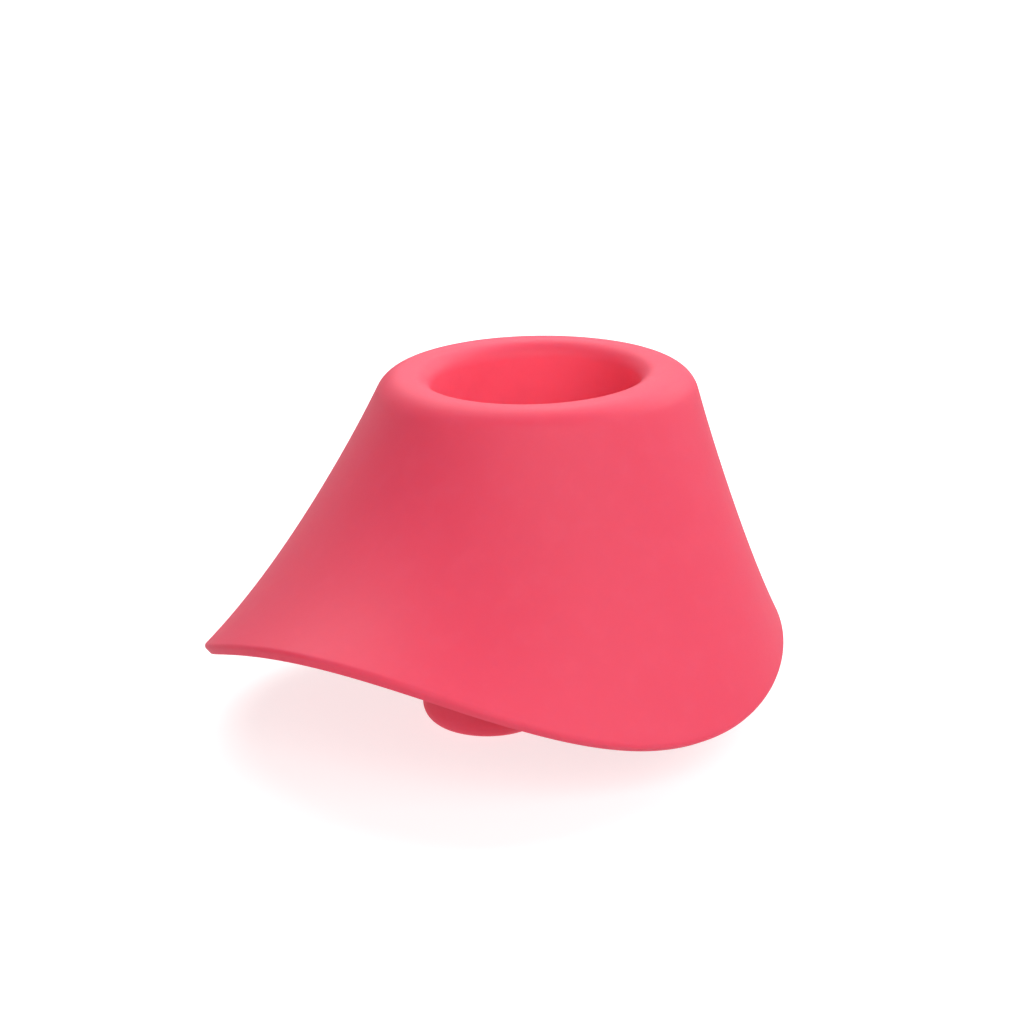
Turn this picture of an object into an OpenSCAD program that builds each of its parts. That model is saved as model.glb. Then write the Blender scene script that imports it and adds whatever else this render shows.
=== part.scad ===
// Silicone suction head: a saddle-skirted cup with an oval mouth and a round plug-on neck.
// Frame: origin at the centre of the neck's end, +Z up out of the mouth, +X towards the skirt's
// higher arch. The head is the same on both sides of the XZ plane. Sizes are in millimetres.

/* [Head] */
// Height from the neck's end to the top of the lip
head_h = 28.7; // [28:0.1:32]
// Distance from the neck's axis to the middle of the rim, towards -X
rim_back = 7.7; // [6:0.1:8]

/* [Mouth] */
// Length of the mouth opening, along X
mouth_length = 19.4; // [18:0.1:20]
// Width of the mouth opening, along Y
mouth_width = 16.6; // [15:0.1:17]
// Distance from the middle of the rim to the middle of the mouth, towards +X
mouth_forward = 0.4; // [0:0.1:0.8]
// Radius of the lip's rounding into the mouth
lip_inner_round = 1.4; // [0.8:0.1:1.6]
// Radius of the lip's rounding onto the outer wall
lip_outer_round = 2.4; // [1.2:0.1:2.6]
// Thickness of the silicone between the mouth and the carrier
mouth_wall = 1.2; // [1:0.1:1.3]
// Thickness of the lip above the carrier's rim
lip_depth = 3.6; // [3.2:0.1:4.4]

/* [Skirt] */
// Length of the rim's sharp corner before rounding, along X
rim_length = 27.5; // [26.6:0.1:29]
// Width of the rim's sharp corner before rounding, along Y
rim_width = 24.9; // [24.6:0.1:27]
// Length of the hem, along X
hem_length = 52.1; // [48:0.1:56]
// Width of the hem, along Y, at the middle of its length
hem_width = 47; // [43:0.1:50]
// Distance from the middle of the rim to the middle of the hem, towards +X
hem_forward = 4.7; // [3:0.1:6]
// How much fuller the hem is in front of its middle than behind it
hem_fullness = 1.1; // [0:0.1:2]
// Distance of the front arch below the top of the lip
front_drop = 16.2; // [14:0.1:19]
// Distance of the back arch below the top of the lip
back_drop = 21.3; // [18:0.1:22]
// Distance of the two side lobes below the top of the lip
side_drop = 24.2; // [22:0.1:26]
// How much the front arch is narrowed into the lobes
arch_narrowing = 0.95; // [0:0.05:1.2]
// How far the wall bows in between the lip and the hem, at the front
front_flare = 2.7; // [0.5:0.1:3]
// The same at the back
back_flare = 1.65; // [0.5:0.05:2]
// The same at the sides
side_flare = 0; // [0:0.1:1]
// Thickness of the skirt at its hem
hem_wall = 1.05; // [0.9:0.05:1.4]
// Thickness of the skirt at its shoulder
shoulder_wall = 1.8; // [1.4:0.1:2]

/* [Cup] */
// Depth of the mouth's straight wall below the top of the lip
cup_top_depth = 8; // [7.5:0.1:9]
// Height of the cup from its floor to the end of the mouth's wall
cup_h = 8; // [7:0.1:8.5]
// Thickness of the cup's silicone
cup_wall = 1.2; // [1:0.1:1.3]
// Radius of the air port in the cup's floor
port_r = 2; // [1.5:0.1:2.2]

/* [Neck] */
// Radius of the neck
neck_r = 5.4; // [5.2:0.1:6]
// Radius of the rounding around the neck's end
neck_round = 1.8; // [1:0.1:1.9]
// Height of the neck's silicone sleeve
boot_h = 9.9; // [8:0.1:9.9]
// Thickness of the sleeve's floor under the carrier
boot_floor = 1.4; // [1.2:0.1:1.8]
// Radius of the carrier's tube
tube_r = 4.2; // [4.1:0.1:4.4]
// Radius of the socket for the nozzle, and of the hole in the sleeve's floor
socket_r = 2.75; // [2.6:0.05:2.8]
// Depth of the socket above the carrier's lower end
socket_depth = 7.4; // [6.5:0.1:7.8]

/* [Carrier] */
// Thickness of the carrier's funnel
carrier_wall = 1.4; // [1.1:0.1:1.5]
// Gap left between pieces that meet on a curved face
fit_gap = 0.1; // [0.05:0.01:0.15]
// Thickness of the seal ring's cord
seal_cord = 0.8; // [0.7:0.05:0.9]
// Height of the seal ring's centre above the carrier's lower end
seal_height = 2.6; // [2:0.1:4]

/* [Hidden] */
$fn = 96;

silicone = "#f4566f";
liner_silicone = "#e8405c";
carrier_plastic = "#d9d4d2";
seal_rubber = "#3a3a3e";

skirt_steps = 96;    // profiles around the skirt
cup_steps = 60;      // profiles around the cup and the carrier
wall_steps = 13;     // stretches from the lip to the hem
inner_steps = 8;     // stretches on the skirt's inner face
lip_steps = 6;       // stretches on each rounding of the lip
cup_rings = 10;      // stretches from the cup's top to its floor
slope_step = 0.01;   // step along the wall used to find its normal
cut = 0.01;          // overlap that keeps a cut clean
port_trim = 0.2;     // flat ring on each side of the port's edge, which the port's cut trims
groove_room = 1.3;   // height of the seal's groove, in seal cords

up = [0, 0, 1];
rim_x = -rim_back;
mouth_x = rim_x + mouth_forward;
hem_x = rim_x + hem_forward;

// Harmonics around the head that meet the hem's and the flare's values at the front, sides and back
hem_mean_drop = (front_drop + back_drop) / 4 + side_drop / 2;
hem_saddle = side_drop / 2 - (front_drop + back_drop) / 4;
hem_tilt = (back_drop - front_drop) / 2 - arch_narrowing;
flare_mean = (front_flare + back_flare) / 4 + side_flare / 2;
flare_saddle = (front_flare + back_flare) / 4 - side_flare / 2;
flare_tilt = (front_flare - back_flare) / 2;

cup_top_z = head_h - cup_top_depth;
ceiling_z = head_h - lip_depth;
carrier_offset = max(cup_wall, mouth_wall) + fit_gap;
seal_z = boot_floor + seal_height;
seal_mid_r = socket_r + seal_cord / 2;
groove_r = socket_r + seal_cord;
groove_h = seal_cord * groove_room;

// ---- Outline of the skirt ----------------------------------------------------------------

function unit(v) = v / norm(v);
function around(t) = [cos(t), sin(t), 0];

// Sharp corner of the rim, before the lip's rounding
function rim_corner(t) = [rim_x + rim_length / 2 * cos(t), rim_width / 2 * sin(t), head_h];

// Outer edge of the hem: a lobe at each side, a high arch at the front and a low one at the back
function hem_edge(t) = [
    hem_x + hem_length / 2 * cos(t),
    hem_width / 2 * sin(t) + hem_fullness * sin(2 * t),
    head_h - hem_mean_drop + hem_tilt * cos(t) + hem_saddle * cos(2 * t) + arch_narrowing * cos(3 * t)
];

function flare(t) = flare_mean + flare_tilt * cos(t) + flare_saddle * cos(2 * t);

function wall_span(t) = hem_edge(t) - rim_corner(t);

// Square to the straight wall, outwards, in its own upright plane
function wall_side(t) =
    let (w = unit(wall_span(t)), h = unit([w.x, w.y, 0]))
    unit(h - (h * w) * w);

// The way the bowed wall leaves the lip, and how far the rounding then reaches along the wall
function wall_start(t) = unit(wall_span(t) - 4 * flare(t) * wall_side(t));
function lip_turn(t) = acos(around(t) * wall_start(t));
function lip_reach(t) = lip_outer_round * tan(lip_turn(t) / 2);

// Point on the outer wall, a curve with one control point: u is 0 at the lip and 1 at the hem
function wall_point(t, u) =
    let (
        first = rim_corner(t) + lip_reach(t) * wall_start(t),
        control = (rim_corner(t) + hem_edge(t)) / 2 - 2 * flare(t) * wall_side(t)
    )
    (1 - u) * (1 - u) * first + 2 * u * (1 - u) * control + u * u * hem_edge(t);

function wall_normal(t, u) =
    unit(cross(
        wall_point(t + 1, u) - wall_point(t - 1, u),
        wall_point(t, u - slope_step) - wall_point(t, u)
    ));

function skirt_wall(u) = hem_wall + (shoulder_wall - hem_wall) * (1 - u) * (1 - u);
function skirt_inside(t, u) = wall_point(t, u) - skirt_wall(u) * wall_normal(t, u);

// Rounding of the lip onto the outer wall: turn is 0 on the flat top and 1 at the wall
function lip_outer(t, turn) =
    let (
        middle = rim_corner(t) - lip_reach(t) * around(t) - lip_outer_round * up,
        angle = turn * lip_turn(t)
    )
    middle + lip_outer_round * (cos(angle) * up + sin(angle) * around(t));

// ---- Outline of the mouth and the cup ----------------------------------------------------

// Oval of the mouth's wall, grown outwards by an offset
function mouth_oval(t, offset_by, z) = [
    mouth_x + (mouth_length / 2 + offset_by) * cos(t),
    (mouth_width / 2 + offset_by) * sin(t),
    z
];

// Rounding of the lip into the mouth: turn is 0 at the wall and 1 on the flat top
function lip_inner(t, turn) =
    mouth_oval(t, lip_inner_round * (1 - cos(90 * turn)),
               head_h - lip_inner_round * (1 - sin(90 * turn)));

function cup_floor(offset_by) = cup_top_z - cup_h - offset_by;

// Bowl of the cup, grown outwards by an offset: drop is 0 at its top and 1 at its floor
function cup_point(t, offset_by, drop) =
    let (
        narrowing = cos(90 * drop),
        port = port_r + port_trim + offset_by
    )
    [
        mouth_x * narrowing
            + (port + (mouth_length / 2 + offset_by - port) * narrowing) * cos(t),
        (port + (mouth_width / 2 + offset_by - port) * narrowing) * sin(t),
        cup_top_z - (cup_h + offset_by) * sin(90 * drop)
    ];

// Edge left inside the air port, which the port's own cut then trims
function port_edge(t, z) = (port_r - port_trim) * around(t) + [0, 0, z];

// ---- Profiles, each a closed loop at one angle around the head ---------------------------

function skirt_profile(t) = concat(
    [for (i = [wall_steps:-1:1]) wall_point(t, i / wall_steps)],
    [for (i = [lip_steps:-1:0]) lip_outer(t, i / lip_steps)],
    [for (i = [lip_steps:-1:0]) lip_inner(t, i / lip_steps)],
    [mouth_oval(t, 0, (head_h + cup_top_z) / 2), mouth_oval(t, 0, cup_top_z)],
    [mouth_oval(t, mouth_wall, cup_top_z), mouth_oval(t, mouth_wall, ceiling_z)],
    [mouth_oval(t, carrier_offset + carrier_wall + fit_gap, ceiling_z)],
    [for (i = [1:inner_steps]) skirt_inside(t, i / inner_steps)]
);

function cup_profile(t, inner, outer, top_z) = concat(
    [mouth_oval(t, outer, top_z), mouth_oval(t, inner, top_z)],
    [for (i = [0:cup_rings]) cup_point(t, inner, i / cup_rings)],
    [port_edge(t, cup_floor(inner)), port_edge(t, cup_floor(outer))],
    [for (i = [cup_rings:-1:0]) cup_point(t, outer, i / cup_rings)]
);

// Closed skin over profiles that stand around the head
module loft(profiles) {
    count = len(profiles);
    size = len(profiles[0]);
    function at(i, j) = (i % count) * size + j % size;
    polyhedron(
        points = [for (profile = profiles) each profile],
        faces = [
            for (i = [0:count - 1], j = [0:size - 1])
                each [
                    [at(i, j), at(i, j + 1), at(i + 1, j + 1)],
                    [at(i, j), at(i + 1, j + 1), at(i + 1, j)]
                ]
        ],
        convexity = 6
    );
}

// Shell that follows the mouth and the cup between two offsets
module cup_loft(inner, outer, top_z) {
    loft([for (i = [0:cup_steps - 1]) cup_profile(i * 360 / cup_steps, inner, outer, top_z)]);
}

// ---- Pieces ------------------------------------------------------------------------------

// Outer skirt with the rolled lip and the mouth's straight wall, in one moulding
module skirt_shell() {
    color(silicone)
        loft([for (i = [0:skirt_steps - 1]) skirt_profile(i * 360 / skirt_steps)]);
}

// Soft cup below the mouth's wall, with the air port in its floor
module cup_liner() {
    color(liner_silicone)
        difference() {
            cup_loft(0, cup_wall, cup_top_z - fit_gap);
            translate([0, 0, cup_floor(cup_wall) - cut])
                cylinder(h = cup_wall + 2 * cut, r = port_r);
        }
}

// Stiff funnel that carries the lip and the cup, with the tube that takes the nozzle
module core_carrier() {
    color(carrier_plastic)
        difference() {
            union() {
                cup_loft(carrier_offset, carrier_offset + carrier_wall, ceiling_z - fit_gap);
                translate([0, 0, boot_floor])
                    cylinder(h = cup_floor(carrier_offset) - boot_floor - cut, r = tube_r);
            }
            translate([0, 0, boot_floor - cut])
                cylinder(h = cup_floor(0), r = port_r);
            translate([0, 0, boot_floor - cut])
                cylinder(h = socket_depth + cut, r = socket_r);
            translate([0, 0, seal_z - groove_h / 2])
                cylinder(h = groove_h, r = groove_r);
        }
}

// Silicone sleeve around the carrier's tube, with the rounded end
module neck_boot() {
    top_z = min(boot_h, cup_floor(carrier_offset + carrier_wall) - fit_gap);
    color(silicone)
        rotate_extrude()
            difference() {
                union() {
                    translate([0, neck_round])
                        square([neck_r, top_z - neck_round]);
                    square([neck_r - neck_round, neck_round + cut]);
                    translate([neck_r - neck_round, neck_round])
                        circle(r = neck_round);
                }
                translate([0, boot_floor])
                    square([tube_r, boot_h]);
                translate([0, -cut])
                    square([socket_r, boot_h]);
            }
}

// Rubber ring in the socket's groove, flush with the socket's wall
module seal_ring() {
    color(seal_rubber)
        translate([0, 0, seal_z])
            rotate_extrude()
                translate([seal_mid_r, 0])
                    circle(d = seal_cord);
}

skirt_shell();
cup_liner();
core_carrier();
neck_boot();
seal_ring();
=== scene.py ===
"""Looks of the silicone suction head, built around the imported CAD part.

The head is an oval mouth with a rolled lip, a skirt with two side lobes and a higher arch in
front, a soft cup in the mouth, a stiff carrier behind it, and a sleeved neck with a seal ring.
Sizes in the form classes are in millimetres and every mesh is in metres, in the CAD's frame.
"""

import logging
from collections.abc import Callable, Iterable
from dataclasses import dataclass
from enum import Enum
from math import acos, cos, pi, radians, sin, tan

import bmesh
import bpy
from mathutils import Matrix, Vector


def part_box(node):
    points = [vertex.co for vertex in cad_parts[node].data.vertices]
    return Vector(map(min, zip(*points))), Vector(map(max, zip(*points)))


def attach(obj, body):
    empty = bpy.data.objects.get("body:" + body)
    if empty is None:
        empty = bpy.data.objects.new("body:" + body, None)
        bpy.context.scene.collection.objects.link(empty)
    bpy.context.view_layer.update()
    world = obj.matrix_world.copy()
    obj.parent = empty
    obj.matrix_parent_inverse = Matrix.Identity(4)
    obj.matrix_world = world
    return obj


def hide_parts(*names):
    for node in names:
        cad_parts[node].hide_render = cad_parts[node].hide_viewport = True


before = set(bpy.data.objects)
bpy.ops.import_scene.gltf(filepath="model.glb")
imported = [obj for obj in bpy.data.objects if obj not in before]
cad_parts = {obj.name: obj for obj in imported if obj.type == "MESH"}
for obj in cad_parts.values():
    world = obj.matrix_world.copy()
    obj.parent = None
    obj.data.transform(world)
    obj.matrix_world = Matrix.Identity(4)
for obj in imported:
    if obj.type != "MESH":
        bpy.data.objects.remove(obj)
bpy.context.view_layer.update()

LOG = logging.getLogger("suction_head")
MM = 0.001
FULL_TURN = 2 * pi
UP = Vector((0, 0, 1))
STATION = "station"
BODY = "root"
BLANK_RADIUS = 5 * MM
BLANK_REACH = 20 * MM
MERGE_DISTANCE = 0.02 * MM
NOISE_ROUGHNESS = 0.55

Colour = tuple[float, float, float, float]
Profile = list[Vector]


class Slot(Enum):
    """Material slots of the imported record."""

    CORAL_SILICONE = "coral_silicone"
    CUP_SILICONE = "cup_silicone"
    CARRIER_PLASTIC = "carrier_plastic"
    SEAL_RUBBER = "seal_rubber"


# ---- Shader expressions ----------------------------------------------------------------------


@dataclass
class Wire:
    """A node's output that takes part in Python expressions on values."""

    tree: "FinishTree"
    socket: bpy.types.NodeSocket

    def _math(self, operation: str, first: "Wire | float", second: "Wire | float") -> "Wire":
        """Add a Math node over two terms and return its result."""
        return self.tree.node("ShaderNodeMath", {"operation": operation}, {0: first, 1: second})

    def __add__(self, other: "Wire | float") -> "Wire":
        """Sum of two values."""
        return self._math("ADD", self, other)

    __radd__ = __add__

    def __sub__(self, other: "Wire | float") -> "Wire":
        """Difference of two values."""
        return self._math("SUBTRACT", self, other)

    def __rsub__(self, other: "Wire | float") -> "Wire":
        """Difference with this value taken away."""
        return self._math("SUBTRACT", other, self)

    def __mul__(self, other: "Wire | float") -> "Wire":
        """Product of two values."""
        return self._math("MULTIPLY", self, other)

    __rmul__ = __mul__


class FinishTree:
    """A material under construction, with one way to add any node."""

    def __init__(self, name: str) -> None:
        """Start an empty material.

        Args:
            name: the finish's name.
        """
        self.material = bpy.data.materials.new(name)
        self.material.use_nodes = True
        self.tree = self.material.node_tree
        self.tree.nodes.clear()
        self.place = self.node("ShaderNodeTexCoord", {}, {}, "Object")

    def node(
        self,
        kind: str,
        settings: dict[str, object],
        inputs: dict[int | str, object],
        output: int | str = 0,
    ) -> Wire:
        """Add one node.

        Args:
            kind: the node's type.
            settings: its properties, set first.
            inputs: a value or a wire for each socket that isn't left as it is.
            output: the socket to return.

        Returns:
            The named output.
        """
        made = self.tree.nodes.new(kind)
        for name, value in settings.items():
            setattr(made, name, value)
        for key, value in inputs.items():
            if isinstance(value, Wire):
                self.tree.links.new(value.socket, made.inputs[key])
            else:
                made.inputs[key].default_value = value
        return Wire(self, made.outputs[output])

    def noise(self, per_metre: float, detail: float, stretch: Vector | None = None) -> Wire:
        """Soft noise from 0 to 1 in the object's own space.

        Args:
            per_metre: how many features fit in a metre.
            detail: how many finer layers it has.
            stretch: scale of the pattern along each axis.

        Returns:
            The noise's value.
        """
        place = self.place
        if stretch is not None:
            place = self.node("ShaderNodeMapping", {}, {"Vector": place, "Scale": stretch})
        settings = {"noise_dimensions": "3D", "normalize": True}
        inputs = {"Vector": place, "Scale": per_metre, "Detail": detail}
        inputs["Roughness"] = NOISE_ROUGHNESS
        return self.node("ShaderNodeTexNoise", settings, inputs, 0)

    def spread(self, value: Wire, low: float, high: float) -> Wire:
        """Stretch the stated part of a value over 0 to 1.

        Args:
            value: the value.
            low: what becomes 0.
            high: what becomes 1.

        Returns:
            The stretched value, held between 0 and 1.
        """
        inputs = {0: value, 1: low, 2: high, 3: 0.0, 4: 1.0}
        settings = {"interpolation_type": "SMOOTHSTEP", "clamp": True}
        return self.node("ShaderNodeMapRange", settings, inputs, 0)

    def mix(self, share: Wire | float, first: object, second: object) -> Wire:
        """Blend two colours.

        Args:
            share: how much of the second is taken.
            first: a colour or a wire.
            second: a colour or a wire.

        Returns:
            The blended colour.
        """
        settings = {"data_type": "RGBA", "blend_type": "MIX"}
        return self.node("ShaderNodeMix", settings, {0: share, 6: first, 7: second}, 2)

    def bump(self, height: Wire, depth: float, strength: float) -> Wire:
        """Turn a height into a shading normal.

        Args:
            height: the height, about 0 to 1.
            depth: what 1 stands for, in metres.
            strength: how strongly it shows.

        Returns:
            The normal.
        """
        inputs = {"Strength": strength, "Distance": depth, "Height": height}
        return self.node("ShaderNodeBump", {}, inputs, "Normal")

    def surface(self, inputs: dict[int | str, object]) -> bpy.types.Material:
        """Finish the material with a Principled shader.

        Args:
            inputs: a value or a wire for each of the shader's sockets in use.

        Returns:
            The material.
        """
        shader = self.node("ShaderNodeBsdfPrincipled", {}, inputs, "BSDF")
        out = self.tree.nodes.new("ShaderNodeOutputMaterial")
        self.tree.links.new(shader.socket, out.inputs["Surface"])
        return self.material


# ---- Finishes --------------------------------------------------------------------------------


@dataclass(frozen=True)
class PaintedMouthLight:
    """Painted light inside the mouth: a lighter tone that stands in for the light falling into the
    mouth.

    The place is an upright oval, in metres. The tone fades in below the oval's top and has no
    lower limit, so what stands under the mouth in the same finish takes it too.
    """

    painted_light: Colour
    centre_x: float
    length: float
    width: float
    top: float
    spill: float = 0.16
    fade: float = 0.0016

    def share(self, tree: FinishTree) -> Wire:
        """How much of the painted light shows.

        Args:
            tree: the material under construction.

        Returns:
            1 well below the oval's top and 0 outside it.
        """
        move = {"Vector": tree.place, "Location": Vector((-self.centre_x, 0, -self.top))}
        level = tree.node("ShaderNodeMapping", {}, move)
        flat = Vector((2 / self.length, 2 / self.width, 0))
        scaled = tree.node("ShaderNodeVectorMath", {"operation": "MULTIPLY"}, {0: level, 1: flat})
        reach = tree.node("ShaderNodeVectorMath", {"operation": "LENGTH"}, {0: scaled}, "Value")
        height = tree.node("ShaderNodeSeparateXYZ", {}, {0: level}, "Z")
        inside = tree.spread(1.0 - reach, -self.spill, 0.0)
        return inside * tree.spread(height * -1.0, 0.0, self.fade)


@dataclass(frozen=True)
class MattSilicone:
    """Soft moulded silicone: matt skin, a slight bloom, light that reaches under the skin and,
    where given, painted light inside the mouth.
    """

    name: str
    body: Colour
    deep: Colour
    bloom: Colour
    mouth_painted_light: PaintedMouthLight | None = None
    roughness: float = 0.6
    glow: float = 0.35
    glow_depth: float = 0.0025
    cloud_scale: float = 70.0
    patch_scale: float = 420.0
    grain_scale: float = 3800.0
    pore_scale: float = 11000.0
    cloud_span: tuple[float, float] = (0.28, 0.72)
    patch_span: tuple[float, float] = (0.42, 0.82)
    pore_span: tuple[float, float] = (0.55, 0.8)
    grain_depth: float = 0.00003
    grain_strength: float = 0.35
    refraction: float = 1.41
    glow_reach: tuple[float, float, float] = (1.0, 0.28, 0.2)

    def make(self) -> bpy.types.Material:
        """Build the material.

        Returns:
            The material.
        """
        tree = FinishTree(self.name)
        clouds = tree.noise(self.cloud_scale, 3)
        patches = tree.noise(self.patch_scale, 4)
        grain = tree.noise(self.grain_scale, 3)
        pores = tree.noise(self.pore_scale, 1)
        colour = tree.mix(tree.spread(clouds, *self.cloud_span), self.deep, self.body)
        # Painted light: a lighter tone inside the mouth stands in for the light falling into it.
        if self.mouth_painted_light is not None:
            colour = tree.mix(self.mouth_painted_light.share(tree), colour, self.mouth_painted_light.painted_light)
        haze = tree.spread(patches, *self.patch_span) * 0.35
        haze = haze + tree.spread(pores, *self.pore_span) * 0.1
        colour = tree.mix(haze, colour, self.bloom)
        gloss = self.roughness + (clouds - 0.5) * 0.12 + (patches - 0.5) * 0.14
        gloss = gloss + (grain - 0.5) * 0.1
        height = grain * 0.65 + pores * 0.2 + patches * 0.15
        return tree.surface(
            {
                "Base Color": colour,
                "Roughness": gloss,
                "Normal": tree.bump(height, self.grain_depth, self.grain_strength),
                "IOR": self.refraction,
                "Subsurface Weight": self.glow,
                "Subsurface Radius": Vector(self.glow_reach),
                "Subsurface Scale": self.glow_depth,
            }
        )


@dataclass(frozen=True)
class SatinPlastic:
    """Injection-moulded carrier: spark-eroded satin skin with faint flow marks."""

    name: str
    body: Colour
    shade: Colour
    flow_scale: float = 380.0
    flow_stretch: tuple[float, float, float] = (1.0, 1.0, 0.15)
    cloud_scale: float = 120.0
    grain_scale: float = 5200.0
    tone_span: tuple[float, float] = (0.34, 0.66)
    grain_depth: float = 0.00002
    grain_strength: float = 0.4
    roughness: float = 0.36
    refraction: float = 1.49

    def make(self) -> bpy.types.Material:
        """Build the material.

        Returns:
            The material.
        """
        tree = FinishTree(self.name)
        flow = tree.noise(self.flow_scale, 3, Vector(self.flow_stretch))
        clouds = tree.noise(self.cloud_scale, 3)
        grain = tree.noise(self.grain_scale, 3)
        tone = tree.spread(flow * 0.6 + clouds * 0.4, *self.tone_span)
        colour = tree.mix(tone, self.shade, self.body)
        gloss = self.roughness + (flow - 0.5) * 0.16 + (grain - 0.5) * 0.18
        height = grain * 0.8 + flow * 0.2
        return tree.surface(
            {
                "Base Color": colour,
                "Roughness": gloss,
                "Normal": tree.bump(height, self.grain_depth, self.grain_strength),
                "IOR": self.refraction,
            }
        )


@dataclass(frozen=True)
class SealRubber:
    """Black rubber of the seal ring: dull, with a trace of mould dust."""

    name: str
    body: Colour
    dust: Colour
    roughness: float = 0.42
    patch_scale: float = 900.0
    grain_scale: float = 9000.0
    dust_span: tuple[float, float] = (0.5, 0.85)
    dust_share: float = 0.4
    grain_depth: float = 0.00002
    grain_strength: float = 0.5
    refraction: float = 1.52

    def make(self) -> bpy.types.Material:
        """Build the material.

        Returns:
            The material.
        """
        tree = FinishTree(self.name)
        patches = tree.noise(self.patch_scale, 4)
        grain = tree.noise(self.grain_scale, 3)
        share = tree.spread(patches, *self.dust_span) * self.dust_share
        colour = tree.mix(share, self.body, self.dust)
        gloss = self.roughness + (patches - 0.5) * 0.25 + (grain - 0.5) * 0.15
        height = grain * 0.7 + patches * 0.3
        return tree.surface(
            {
                "Base Color": colour,
                "Roughness": gloss,
                "Normal": tree.bump(height, self.grain_depth, self.grain_strength),
                "IOR": self.refraction,
            }
        )


@dataclass(frozen=True)
class LitCard:
    """Pale studio floor on a light table.

    It looks nearly white, and fully white far from the head. The table lights the head from
    below, most of all under the neck.
    """

    name: str
    body: Colour = (0.5, 0.5, 0.5, 1)
    fibre_tone: Colour = (0.44, 0.44, 0.44, 1)
    look: Colour = (0.7, 0.7, 0.7, 1)
    white: Colour = (1, 1, 1, 1)
    neck_glow: Colour = (0.5, 0.5, 0.5, 1)
    low_glow: Colour = (0.15, 0.15, 0.15, 1)
    neck_reach: tuple[float, float] = (0.012, 0.040)
    look_reach: tuple[float, float] = (0.15, 0.50)
    fibre_scale: float = 900.0
    fibre_share: float = 0.03

    def make(self) -> bpy.types.Material:
        """Build the material.

        Returns:
            The material.
        """
        tree = FinishTree(self.name)
        fibre = tree.noise(self.fibre_scale, 3)
        share = tree.spread(fibre, 0.3, 0.7) * self.fibre_share
        colour = tree.mix(share, self.body, self.fibre_tone)
        away = tree.node("ShaderNodeVectorMath", {"operation": "LENGTH"}, {0: tree.place}, "Value")
        look = tree.mix(tree.spread(away, *self.look_reach), self.look, self.white)
        glow = tree.mix(tree.spread(away, *self.neck_reach), self.neck_glow, self.low_glow)
        seen = tree.node("ShaderNodeLightPath", {}, {}, "Is Camera Ray")
        return tree.surface(
            {
                "Base Color": colour,
                "Roughness": 0.85 + fibre * 0.1,
                "Emission Color": tree.mix(seen, glow, look),
                "Emission Strength": 1.0,
            }
        )


# ---- Modelling by hand -----------------------------------------------------------------------


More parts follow.
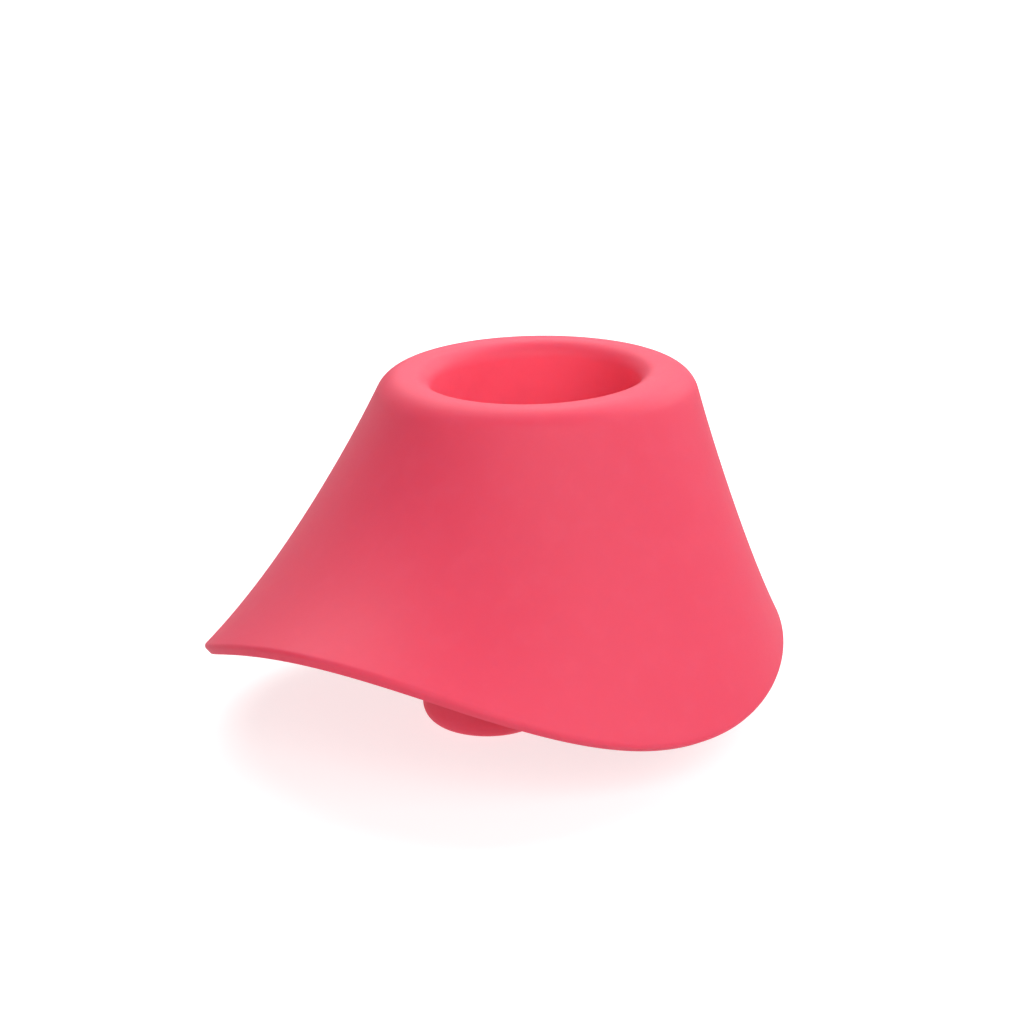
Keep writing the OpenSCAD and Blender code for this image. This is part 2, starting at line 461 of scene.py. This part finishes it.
class Bench:
    """The modelling moves that the pieces share."""

    @staticmethod
    def clear_selection() -> None:
        """Leave edit mode and select nothing."""
        if bpy.context.object is not None and bpy.context.object.mode != "OBJECT":
            bpy.ops.object.mode_set(mode="OBJECT")
        bpy.ops.object.select_all(action="DESELECT")

    @staticmethod
    def spin_section(
        name: str, steps: int, profile_at: Callable[[float], Profile]
    ) -> bpy.types.Object:
        """Spin a closed section once round the head and shape each copy to its own profile.

        Args:
            name: the piece's name.
            steps: how many profiles stand around the head.
            profile_at: the profile, in millimetres, at an angle in radians.

        Returns:
            The closed piece.
        """
        Bench.clear_selection()
        count = len(profile_at(0.0))
        bpy.ops.mesh.primitive_circle_add(
            vertices=count,
            radius=BLANK_RADIUS,
            location=(BLANK_REACH, 0, 0),
            rotation=(pi / 2, 0, 0),
        )
        piece = bpy.context.object
        piece.name = name
        piece.data.name = name
        bpy.ops.object.transform_apply(location=True, rotation=True, scale=True)
        numbers = piece.data.attributes.new(STATION, "INT", "POINT")
        numbers.data.foreach_set("value", list(range(count)))
        bpy.ops.object.mode_set(mode="EDIT")
        bpy.ops.mesh.select_all(action="SELECT")
        bpy.ops.mesh.spin(steps=steps, angle=FULL_TURN, center=(0, 0, 0), axis=(0, 0, 1))
        bpy.ops.mesh.select_all(action="SELECT")
        bpy.ops.mesh.remove_doubles(threshold=MERGE_DISTANCE)
        profiles = [profile_at(FULL_TURN * step / steps) for step in range(steps)]
        form = bmesh.from_edit_mesh(piece.data)
        station = form.verts.layers.int[STATION]
        for corner in form.verts:
            turn = Vector((1, 0)).angle_signed(corner.co.xy, 0.0)
            profile = profiles[round(-turn / FULL_TURN * steps) % steps]
            corner.co = profile[corner[station]] * MM
        bmesh.update_edit_mesh(piece.data)
        Bench.face_outwards(piece)
        return piece

    @staticmethod
    def face_outwards(piece: bpy.types.Object) -> None:
        """Turn every face of a closed piece outwards.

        Args:
            piece: the piece, in edit mode.
        """
        bpy.ops.mesh.select_all(action="SELECT")
        bpy.ops.mesh.normals_make_consistent(inside=False)
        if bmesh.from_edit_mesh(piece.data).calc_volume(signed=True) < 0:
            bpy.ops.mesh.flip_normals()

    @staticmethod
    def round_edges(
        piece: bpy.types.Object, stations: Iterable[int], radius: float, segments: int
    ) -> None:
        """Bevel the edges that run round the piece at some stations.

        Args:
            piece: the piece, in edit mode.
            stations: the profile points whose edges are rounded.
            radius: the bevel's width in millimetres.
            segments: how many faces the rounding has.
        """
        wanted = set(stations)
        bpy.ops.mesh.select_mode(type="EDGE")
        bpy.ops.mesh.select_all(action="DESELECT")
        form = bmesh.from_edit_mesh(piece.data)
        station = form.verts.layers.int[STATION]
        for edge in form.edges:
            first, second = (corner[station] for corner in edge.verts)
            if first == second and first in wanted:
                edge.select_set(True)
        bmesh.update_edit_mesh(piece.data)
        bpy.ops.mesh.bevel(offset=radius * MM, segments=segments, profile=0.5, affect="EDGES")
        form = bmesh.from_edit_mesh(piece.data)
        station = form.verts.layers.int[STATION]
        for corner in form.verts:
            if corner.select:
                corner[station] = -1
        bmesh.update_edit_mesh(piece.data)

    @staticmethod
    def finish_mesh(piece: bpy.types.Object, sharpest: float) -> None:
        """Turn the faces outwards, shade them smooth and drop the working attribute.

        Args:
            piece: the piece, in edit mode.
            sharpest: the angle in degrees above which an edge stays sharp.
        """
        Bench.face_outwards(piece)
        bpy.ops.object.mode_set(mode="OBJECT")
        bpy.ops.object.shade_smooth_by_angle(angle=radians(sharpest))
        piece.data.attributes.remove(piece.data.attributes[STATION])

    @staticmethod
    def hand_over(
        piece: bpy.types.Object, node: str, slot: Slot, finish: bpy.types.Material
    ) -> None:
        """Dress a piece, hang it on the root body, hide the CAD node it stands for and log it.

        Args:
            piece: the finished piece.
            node: the CAD node that it stands for.
            slot: its material slot in the record.
            finish: its material.
        """
        piece.data.materials.clear()
        piece.data.materials.append(finish)
        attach(piece, BODY)
        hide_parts(node)
        faces = len(piece.data.polygons)
        LOG.info("%s stands for %s with %d faces in %s", piece.name, node, faces, slot.value)


def around(turn: float) -> Vector:
    """Level direction at an angle round the head."""
    return Vector((cos(turn), sin(turn), 0))


def steps_down(count: int, last: int = 0) -> list[float]:
    """Shares from 1 down to last / count."""
    return [i / count for i in range(count, last - 1, -1)]


# ---- Forms: outlines that the pieces share ---------------------------------------------------


@dataclass(frozen=True)
class MouthForm:
    """Oval mouth and the bowl below it, in millimetres."""

    head_h: float
    centre_x: float = -7.3
    length: float = 19.4
    width: float = 16.6
    lip_round: float = 1.4
    straight: float = 8.0
    bowl_h: float = 8.0
    port_r: float = 2.0
    port_rim: float = 0.2

    @property
    def bowl_top(self) -> float:
        """Height of the end of the mouth's straight wall."""
        return self.head_h - self.straight

    def floor(self, offset: float) -> float:
        """Height of the bowl's floor, grown outwards by an offset."""
        return self.bowl_top - self.bowl_h - offset

    def oval(self, turn: float, offset: float, z: float) -> Vector:
        """Point of the mouth's oval, grown outwards by an offset."""
        x = self.centre_x + (self.length / 2 + offset) * cos(turn)
        return Vector((x, (self.width / 2 + offset) * sin(turn), z))

    def lip(self, turn: float, share: float) -> Vector:
        """Point of the lip's rounding: share is 0 at the wall and 1 on the flat top."""
        reach = self.lip_round * (1 - cos(pi / 2 * share))
        return self.oval(turn, reach, self.head_h - self.lip_round * (1 - sin(pi / 2 * share)))

    def bowl(self, turn: float, offset: float, drop: float) -> Vector:
        """Point of the bowl below the straight wall.

        Args:
            turn: the angle in radians.
            offset: how far it is grown outwards.
            drop: 0 at the bowl's top and 1 at its floor.

        Returns:
            The point.
        """
        wide = cos(pi / 2 * drop)
        port = self.port_r + self.port_rim + offset
        x = self.centre_x * wide + (port + (self.length / 2 + offset - port) * wide) * cos(turn)
        y = (port + (self.width / 2 + offset - port) * wide) * sin(turn)
        return Vector((x, y, self.bowl_top - (self.bowl_h + offset) * sin(pi / 2 * drop)))

    def port(self, turn: float, z: float) -> Vector:
        """Point of the air port's wall."""
        return around(turn) * self.port_r + UP * z


@dataclass(frozen=True)
class SkirtForm:
    """Outer wall of the skirt from the lip to the hem, in millimetres."""

    head_h: float
    hem_x: float
    hem_length: float
    rim_x: float = -7.7
    rim_length: float = 27.5
    rim_width: float = 24.9
    lip_round: float = 2.4
    hem_width: float = 47.0
    fullness: float = 1.1
    front_drop: float = 16.2
    back_drop: float = 21.3
    side_drop: float = 24.2
    narrowing: float = 0.95
    front_flare: float = 2.7
    back_flare: float = 1.65
    side_flare: float = 0.0
    hem_wall: float = 1.05
    shoulder_wall: float = 1.8
    slope_step: float = 0.01
    turn_step: float = radians(1)

    def rim(self, turn: float) -> Vector:
        """Sharp corner of the rim, before the lip's rounding."""
        x = self.rim_x + self.rim_length / 2 * cos(turn)
        return Vector((x, self.rim_width / 2 * sin(turn), self.head_h))

    def hem(self, turn: float) -> Vector:
        """Outer edge of the hem, with a lobe at each side and an arch in front and behind.

        Args:
            turn: the angle in radians.

        Returns:
            The point.
        """
        ends = (self.front_drop + self.back_drop) / 4
        tilt = (self.back_drop - self.front_drop) / 2 - self.narrowing
        drop = ends + self.side_drop / 2
        rise = tilt * cos(turn) + (self.side_drop / 2 - ends) * cos(2 * turn)
        rise += self.narrowing * cos(3 * turn)
        x = self.hem_x + self.hem_length / 2 * cos(turn)
        y = self.hem_width / 2 * sin(turn) + self.fullness * sin(2 * turn)
        return Vector((x, y, self.head_h - drop + rise))

    def flare(self, turn: float) -> float:
        """How far the wall bows in between the lip and the hem.

        Args:
            turn: the angle in radians.

        Returns:
            The depth of the bow.
        """
        ends = (self.front_flare + self.back_flare) / 4
        level = ends + self.side_flare / 2
        tilt = (self.front_flare - self.back_flare) / 2
        return level + tilt * cos(turn) + (ends - self.side_flare / 2) * cos(2 * turn)

    def bow(self, turn: float) -> Vector:
        """How far and which way the middle of the wall is pulled in.

        Args:
            turn: the angle in radians.

        Returns:
            The pull, square to the straight line from the rim to the hem.
        """
        span = (self.hem(turn) - self.rim(turn)).normalized()
        level = Vector((span.x, span.y, 0)).normalized()
        side = (level - level.dot(span) * span).normalized()
        return side * self.flare(turn)

    def lip_lean(self, turn: float) -> tuple[Vector, float]:
        """The way the wall leaves the lip, and the angle that the lip turns through."""
        start = (self.hem(turn) - self.rim(turn) - 4 * self.bow(turn)).normalized()
        return start, acos(around(turn).dot(start))

    def wall(self, turn: float, down: float) -> Vector:
        """Point of the outer wall.

        Args:
            turn: the angle in radians.
            down: 0 at the lip and 1 at the hem.

        Returns:
            The point.
        """
        start, lean = self.lip_lean(turn)
        first = self.rim(turn) + self.lip_round * tan(lean / 2) * start
        middle = (self.rim(turn) + self.hem(turn)) / 2 - 2 * self.bow(turn)
        back = 1 - down
        return back * back * first + 2 * down * back * middle + down * down * self.hem(turn)

    def inside(self, turn: float, down: float) -> Vector:
        """Point of the inner wall, square to the outer one.

        Args:
            turn: the angle in radians.
            down: 0 at the lip and 1 at the hem.

        Returns:
            The point.
        """
        along = self.wall(turn + self.turn_step, down) - self.wall(turn - self.turn_step, down)
        rise = self.wall(turn, down - self.slope_step) - self.wall(turn, down)
        thick = self.hem_wall + (self.shoulder_wall - self.hem_wall) * (1 - down) ** 2
        return self.wall(turn, down) - thick * along.cross(rise).normalized()

    def lip(self, turn: float, share: float) -> Vector:
        """Point of the lip's rounding.

        Args:
            turn: the angle in radians.
            share: 0 on the flat top and 1 at the wall.

        Returns:
            The point.
        """
        lean = self.lip_lean(turn)[1]
        reach = self.lip_round * tan(lean / 2)
        middle = self.rim(turn) - reach * around(turn) - self.lip_round * UP
        angle = share * lean
        return middle + self.lip_round * (cos(angle) * UP + sin(angle) * around(turn))


# ---- Pieces ----------------------------------------------------------------------------------


@dataclass
class Skirt:
    """Outer skirt with the rolled lip and the mouth's straight wall, in one moulding."""

    form: SkirtForm
    mouth: MouthForm
    mouth_wall: float = 1.2
    ceiling_drop: float = 3.6
    ceiling_offset: float = 2.8
    steps: int = 288
    wall_rings: int = 44
    lip_rings: int = 14
    mouth_rings: int = 5
    inner_rings: int = 26
    first_inner_ring: int = 3
    hem_round: float = 0.36
    hem_inner_round: float = 0.22
    hem_growth: float = 0.12
    mouth_end_round: float = 0.12

    def profile(self, turn: float) -> Profile:
        """Closed section at an angle: up the wall, over the lip, down the mouth and out again.

        Args:
            turn: the angle in radians.

        Returns:
            The section's points.
        """
        form, mouth = self.form, self.mouth
        ceiling = form.head_h - self.ceiling_drop
        straight = (mouth.head_h - mouth.lip_round, mouth.bowl_top)
        past = 1 + self.hem_growth / (form.hem(turn) - form.rim(turn)).length
        points = [form.wall(turn, past * down) for down in steps_down(self.wall_rings, 1)]
        points += [form.lip(turn, share) for share in steps_down(self.lip_rings)]
        top = points[-1].lerp(mouth.lip(turn, 1), 0.5)
        points.append(top)
        points += [mouth.lip(turn, share) for share in steps_down(self.lip_rings)]
        points += [
            mouth.oval(turn, 0, straight[0] + (straight[1] - straight[0]) * i / self.mouth_rings)
            for i in range(1, self.mouth_rings + 1)
        ]
        points.append(mouth.oval(turn, self.mouth_wall, mouth.bowl_top))
        points.append(mouth.oval(turn, self.mouth_wall, ceiling))
        points.append(mouth.oval(turn, self.ceiling_offset, ceiling))
        rings = range(self.first_inner_ring, self.inner_rings + 1)
        down = [i / self.inner_rings for i in rings]
        points += [form.inside(turn, share * past) for share in down]
        return points

    def build(self, finish: bpy.types.Material) -> None:
        """Model the skirt and hand it over.

        Args:
            finish: its material.
        """
        piece = Bench.spin_section("skirt", self.steps, self.profile)
        hem_inside = len(self.profile(0.0)) - 1
        mouth_end = self.wall_rings + 2 * (self.lip_rings + 1) + self.mouth_rings
        Bench.round_edges(piece, [0], self.hem_round, segments=6)
        Bench.round_edges(piece, [hem_inside], self.hem_inner_round, segments=6)
        Bench.round_edges(piece, [mouth_end, mouth_end + 1], self.mouth_end_round, segments=3)
        Bench.finish_mesh(piece, sharpest=50)
        Bench.hand_over(piece, "skirt_shell", Slot.CORAL_SILICONE, finish)


@dataclass
class CupLiner:
    """Soft bowl under the mouth, with the air port in its floor."""

    mouth: MouthForm
    wall: float = 1.2
    gap: float = 0.1
    top_round: float = 0.1
    port_round: float = 0.12
    first_drop: float = 0.01
    steps: int = 192
    rings: int = 36

    def profile(self, turn: float) -> Profile:
        """Closed section at an angle: down the inside, through the port and up the outside.

        Args:
            turn: the angle in radians.

        Returns:
            The section's points.
        """
        mouth = self.mouth
        top = mouth.bowl_top - self.gap
        down = [max(i / self.rings, self.first_drop) for i in range(self.rings + 1)]
        points = [mouth.oval(turn, self.wall, top), mouth.oval(turn, 0, top)]
        points += [mouth.bowl(turn, 0, share) for share in down]
        points += [mouth.port(turn, mouth.floor(0)), mouth.port(turn, mouth.floor(self.wall))]
        points += [mouth.bowl(turn, self.wall, share) for share in reversed(down)]
        return points

    def build(self, finish: bpy.types.Material) -> None:
        """Model the cup and hand it over.

        Args:
            finish: its material.
        """
        piece = Bench.spin_section("cup", self.steps, self.profile)
        # The port's first point comes after two on the rim and rings + 1 down the bowl.
        port = self.rings + 3
        Bench.round_edges(piece, [0, 1], self.top_round, segments=3)
        Bench.round_edges(piece, [port, port + 1], self.port_round, segments=3)
        Bench.finish_mesh(piece, sharpest=50)
        Bench.hand_over(piece, "cup_liner", Slot.CUP_SILICONE, finish)


@dataclass
class Carrier:
    """Stiff funnel behind the lip and the cup, with the tube and the socket for the nozzle."""

    mouth: MouthForm
    low_z: float
    top_z: float
    offset: float = 1.3
    wall: float = 1.4
    tube_r: float = 4.2
    socket_r: float = 2.75
    socket_depth: float = 7.4
    groove_r: float = 3.55
    groove_h: float = 1.04
    groove_z: float = 4.0
    rim_round: float = 0.25
    port_round: float = 0.2
    tube_round: float = 0.3
    steps: int = 192
    rings: int = 36

    def profile(self, turn: float) -> Profile:
        """Closed section at an angle: down the funnel, the channel and the socket, and back up.

        Args:
            turn: the angle in radians.

        Returns:
            The section's points.
        """
        mouth, out = self.mouth, around(turn)
        outer = self.offset + self.wall
        down = [i / self.rings for i in range(self.rings + 1)]
        socket_top = self.low_z + self.socket_depth
        groove_top = self.groove_z + self.groove_h / 2
        groove_low = self.groove_z - self.groove_h / 2
        points = [mouth.oval(turn, outer, self.top_z), mouth.oval(turn, self.offset, self.top_z)]
        points += [mouth.bowl(turn, self.offset, share) for share in down]
        points += [mouth.port(turn, mouth.floor(self.offset)), mouth.port(turn, socket_top)]
        points += [out * self.socket_r + UP * socket_top, out * self.socket_r + UP * groove_top]
        points += [out * self.groove_r + UP * groove_top, out * self.groove_r + UP * groove_low]
        points += [out * self.socket_r + UP * groove_low, out * self.socket_r + UP * self.low_z]
        points += [out * self.tube_r + UP * self.low_z]
        points += [out * self.tube_r + UP * mouth.floor(outer)]
        points += [mouth.bowl(turn, outer, share) for share in reversed(down)]
        return points

    def build(self, finish: bpy.types.Material) -> None:
        """Model the carrier and hand it over.

        Args:
            finish: its material.
        """
        piece = Bench.spin_section("carrier", self.steps, self.profile)
        # The port's first point comes after two on the rim and rings + 1 down the bowl.
        port = self.rings + 3
        socket_end = port + 7
        tube_end, tube_root = socket_end + 1, socket_end + 2
        Bench.round_edges(piece, [0, 1], self.rim_round, segments=4)
        Bench.round_edges(piece, [port, socket_end], self.port_round, segments=3)
        Bench.round_edges(piece, [tube_end, tube_root], self.tube_round, segments=4)
        Bench.finish_mesh(piece, sharpest=40)
        Bench.hand_over(piece, "core_carrier", Slot.CARRIER_PLASTIC, finish)


@dataclass
class NeckSleeve:
    """Silicone sleeve round the carrier's tube, with a rounded end."""

    radius: float
    top_z: float
    end_round: float = 1.8
    bore_r: float = 4.2
    floor: float = 1.4
    hole_r: float = 2.75
    hole_round: float = 0.2
    top_round: float = 0.35
    steps: int = 192
    round_rings: int = 16

    def profile(self, turn: float) -> Profile:
        """Closed section at an angle: across the end, up the outside and down the bore.

        Args:
            turn: the angle in radians.

        Returns:
            The section's points.
        """
        out = around(turn)
        points = [out * self.hole_r, out * (self.radius - self.end_round)]
        for i in range(1, self.round_rings + 1):
            angle = pi / 2 * i / self.round_rings
            reach = self.radius - self.end_round * (1 - sin(angle))
            points.append(out * reach + UP * self.end_round * (1 - cos(angle)))
        points += [out * self.radius + UP * (self.end_round + (self.top_z - self.end_round) / 2)]
        points += [out * self.radius + UP * self.top_z, out * self.bore_r + UP * self.top_z]
        points += [out * self.bore_r + UP * self.floor, out * self.hole_r + UP * self.floor]
        return points

    def build(self, finish: bpy.types.Material) -> None:
        """Model the sleeve and hand it over.

        Args:
            finish: its material.
        """
        piece = Bench.spin_section("neck_sleeve", self.steps, self.profile)
        top = len(self.profile(0.0)) - 4
        Bench.round_edges(piece, [0], self.hole_round, segments=4)
        Bench.round_edges(piece, [top, top + 1], self.top_round, segments=4)
        Bench.finish_mesh(piece, sharpest=50)
        Bench.hand_over(piece, "neck_boot", Slot.CORAL_SILICONE, finish)


@dataclass
class SealRing:
    """Rubber ring in the socket's groove, with the fine flash line of its mould."""

    middle_r: float
    cord: float
    z: float
    flash: float = 0.02
    steps: int = 160
    rings: int = 32

    def profile(self, turn: float) -> Profile:
        """Closed section at an angle: a round cord with two flash lines at 45 degrees.

        Args:
            turn: the angle in radians.

        Returns:
            The section's points.
        """
        points = []
        for i in range(self.rings):
            angle = FULL_TURN * i / self.rings
            on_flash = i % (self.rings // 2) == self.rings // 8
            reach = self.cord / 2 + (self.flash if on_flash else 0)
            centre = around(turn) * self.middle_r + UP * self.z
            points.append(centre + reach * (cos(angle) * around(turn) + sin(angle) * UP))
        return points

    def build(self, finish: bpy.types.Material) -> None:
        """Model the ring and hand it over.

        Args:
            finish: its material.
        """
        piece = Bench.spin_section("seal", self.steps, self.profile)
        Bench.finish_mesh(piece, sharpest=60)
        Bench.hand_over(piece, "seal_ring", Slot.SEAL_RUBBER, finish)


# ---- Studio ----------------------------------------------------------------------------------


@dataclass(frozen=True)
class SoftBox:
    """One soft box. Its bearing starts at the camera's right and runs round behind the head."""

    name: str
    bearing: float
    rise: float
    power: float


@dataclass
class Studio:
    """Pale floor, soft light and the camera."""

    aim: Vector
    azimuth: float = 124.08
    elevation: float = 17.58
    distance: float = 0.250
    shift_right: float = -0.00224
    shift_up: float = -0.011862
    lens: float = 105.47
    sensor: float = 36.0
    clip: tuple[float, float] = (0.01, 20.0)
    floor_size: float = 6.0
    box_distance: float = 0.5
    box_size: float = 0.34
    boxes: tuple[SoftBox, ...] = ()

    def level_axes(self) -> tuple[Vector, Vector]:
        """Level directions to the camera's right and towards the camera."""
        turn = radians(self.azimuth)
        return Vector((cos(turn), sin(turn), 0)), Vector((sin(turn), -cos(turn), 0))

    def place_camera(self) -> None:
        """Stand the camera at its angle and make it the scene's."""
        right, towards = self.level_axes()
        rise = radians(self.elevation)
        back = towards * cos(rise) + UP * sin(rise)
        top = back.cross(right)
        bpy.ops.object.camera_add()
        camera = bpy.context.object
        camera.name = "camera"
        camera.location = (
            self.aim + back * self.distance + right * self.shift_right + top * self.shift_up
        )
        camera.rotation_mode = "QUATERNION"
        camera.rotation_quaternion = (-back).to_track_quat("-Z", "Y")
        camera.data.lens = self.lens
        camera.data.sensor_width = self.sensor
        camera.data.clip_start, camera.data.clip_end = self.clip
        bpy.context.scene.camera = camera

    def hang_boxes(self) -> None:
        """Hang the soft boxes, each facing the head."""
        right, towards = self.level_axes()
        for box in self.boxes:
            bearing, rise = radians(box.bearing), radians(box.rise)
            level = right * cos(bearing) - towards * sin(bearing)
            way = level * cos(rise) + UP * sin(rise)
            bpy.ops.object.light_add(type="AREA", location=self.aim + way * self.box_distance)
            light = bpy.context.object
            light.name = box.name
            light.rotation_mode = "QUATERNION"
            light.rotation_quaternion = (-way).to_track_quat("-Z", "Y")
            light.data.shape = "DISK"
            light.data.size = self.box_size
            light.data.energy = box.power

    def lay_floor(self, height: float, finish: bpy.types.Material) -> None:
        """Lay the floor under the head.

        Args:
            height: where the head stands.
            finish: the floor's material.
        """
        Bench.clear_selection()
        bpy.ops.mesh.primitive_plane_add(size=self.floor_size, location=(0, 0, height))
        floor = bpy.context.object
        floor.name = "floor"
        floor.data.materials.append(finish)

    def light_room(self) -> None:
        """Close the room with plain white, which is seen but adds no light of its own."""
        world = bpy.data.worlds.new("studio")
        world.use_nodes = True
        tree = world.node_tree
        seen = tree.nodes.new("ShaderNodeLightPath").outputs["Is Camera Ray"]
        sky = tree.nodes["Background"]
        sky.inputs["Color"].default_value = (1, 1, 1, 1)
        tree.links.new(seen, sky.inputs["Strength"])
        bpy.context.scene.world = world
        bpy.context.scene.view_settings.view_transform = "Standard"


SOFT_BOXES = (
    SoftBox("front", bearing=270, rise=32, power=1.02),
    SoftBox("front_right", bearing=315, rise=32, power=0.92),
    SoftBox("right", bearing=0, rise=32, power=0.29),
    SoftBox("back_right", bearing=45, rise=32, power=1.23),
    SoftBox("back", bearing=90, rise=32, power=0.63),
    SoftBox("back_left", bearing=135, rise=10, power=0.28),
    SoftBox("front_left", bearing=225, rise=10, power=0.32),
    SoftBox("high_left", bearing=120, rise=55, power=1.22),
    SoftBox("high_right", bearing=60, rise=55, power=0.14),
)


def main() -> None:
    """Build the head piece by piece, then the studio around it."""
    logging.basicConfig(level=logging.INFO, format="%(name)s: %(message)s")
    skirt_low, skirt_high = (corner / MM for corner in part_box("skirt_shell"))
    neck_low, neck_high = (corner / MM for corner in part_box("neck_boot"))
    carrier_low, carrier_high = (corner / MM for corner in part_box("core_carrier"))
    seal_low, seal_high = (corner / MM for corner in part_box("seal_ring"))
    mouth = MouthForm(head_h=skirt_high.z)
    skirt_form = SkirtForm(
        head_h=skirt_high.z,
        hem_x=(skirt_low.x + skirt_high.x) / 2,
        hem_length=skirt_high.x - skirt_low.x,
    )
    coral = MattSilicone(
        "coral_silicone",
        body=(0.86, 0.067, 0.129, 1),
        deep=(0.845, 0.063, 0.123, 1),
        bloom=(0.88, 0.087, 0.155, 1),
        # Painted light inside the mouth: a lighter tone in the mouth's oval.
        mouth_painted_light=PaintedMouthLight(
            painted_light=(0.955, 0.102, 0.174, 1),
            centre_x=mouth.centre_x * MM,
            length=mouth.length * MM,
            width=mouth.width * MM,
            top=mouth.head_h * MM,
        ),
    ).make()
    cup_silicone = MattSilicone(
        "cup_silicone",
        body=(0.88, 0.070, 0.132, 1),
        deep=(0.85, 0.060, 0.116, 1),
        bloom=(0.90, 0.088, 0.158, 1),
    ).make()
    plastic = SatinPlastic(
        "carrier_plastic",
        body=(0.82, 0.80, 0.77, 1),
        shade=(0.74, 0.72, 0.69, 1),
    ).make()
    rubber = SealRubber(
        "seal_rubber", body=(0.018, 0.018, 0.020, 1), dust=(0.06, 0.06, 0.06, 1)
    ).make()
    Skirt(skirt_form, mouth).build(coral)
    CupLiner(mouth).build(cup_silicone)
    Carrier(mouth, low_z=carrier_low.z, top_z=carrier_high.z).build(plastic)
    NeckSleeve(radius=neck_high.x, top_z=neck_high.z).build(coral)
    SealRing(
        middle_r=(seal_high.x - (seal_high.z - seal_low.z) / 2),
        cord=seal_high.z - seal_low.z,
        z=(seal_high.z + seal_low.z) / 2,
    ).build(rubber)
    studio = Studio(aim=Vector((skirt_form.rim_x, 0, skirt_high.z)) * MM, boxes=SOFT_BOXES)
    studio.light_room()
    studio.hang_boxes()
    studio.lay_floor(neck_low.z * MM, LitCard("lit_card").make())
    studio.place_camera()


if __name__ == "__main__":
    main()
